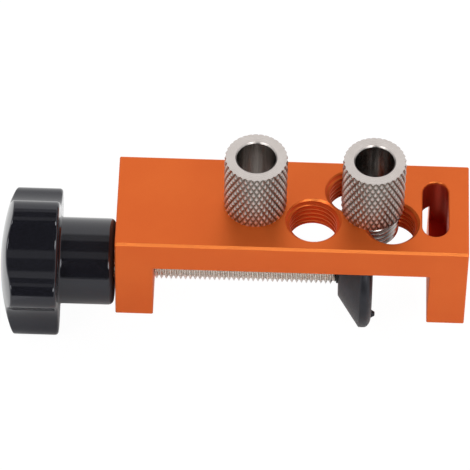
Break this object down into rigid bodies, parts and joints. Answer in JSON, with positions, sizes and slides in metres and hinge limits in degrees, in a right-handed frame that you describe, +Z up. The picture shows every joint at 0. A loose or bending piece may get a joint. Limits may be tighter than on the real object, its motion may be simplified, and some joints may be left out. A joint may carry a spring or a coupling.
{
  "type": "profile drilling jig",
  "caption": "Clamp-on drilling jig: a milled aluminium bridge with threaded guide holes, two knurled screw-in drill bushings and a knob-driven jaw.",
  "frame": {"origin": "middle of the fixed jaw's inner face, from which all guide hole distances are measured", "axes": "+X along the block, from the knob towards the fixed jaw; +Y to the back, away from the clamp screw's side; +Z up, the way the drill bushings leave"},
  "size_m": [0.1201, 0.0376, 0.0562],
  "materials": {
    "anodised_aluminium": "orange anodised, fine satin",
    "stainless_steel": "turned, knurled and bare",
    "black_phenolic": "moulded, glossy",
    "black_nylon": "turned, half matt",
    "brass": "turned",
    "zinc_steel": "zinc plated"
  },
  "bodies": {
    "block": {"jig_block": "anodised_aluminium"},
    "jaw": {"jaw_pad": "black_nylon"},
    "screw": {"clamp_screw": "stainless_steel", "knob": "black_phenolic", "knob_insert": "brass", "thrust_washer": "black_nylon", "retaining_washer": "zinc_steel", "retaining_screw": "zinc_steel"},
    "bushing_1": {"guide_bushing_1": "stainless_steel"},
    "bushing_2": {"guide_bushing_2": "stainless_steel"}
  },
  "joints": [
    {"name": "clamp_travel", "type": "slide", "parent": "block", "child": "jaw", "axis": [-1, 0, 0], "range_m": [-0.0005, 0.0466]},
    {"name": "screw_spin", "type": "hinge", "parent": "jaw", "child": "screw", "pos_m": [-0.05, -0.0031, -0.00265], "axis": [-1, 0, 0], "range_deg": [-140, 13410]},
    {"name": "bushing_1_lift", "type": "slide", "parent": "block", "child": "bushing_1", "axis": [0, 0, 1], "range_m": [0, 0.012]},
    {"name": "bushing_2_lift", "type": "slide", "parent": "block", "child": "bushing_2", "axis": [0, 0, 1], "range_m": [0, 0.012]}
  ],
  "couplings": [
    {"joint": "clamp_travel", "follows": "screw_spin", "m_per_rad": 0.00019894}
  ]
}
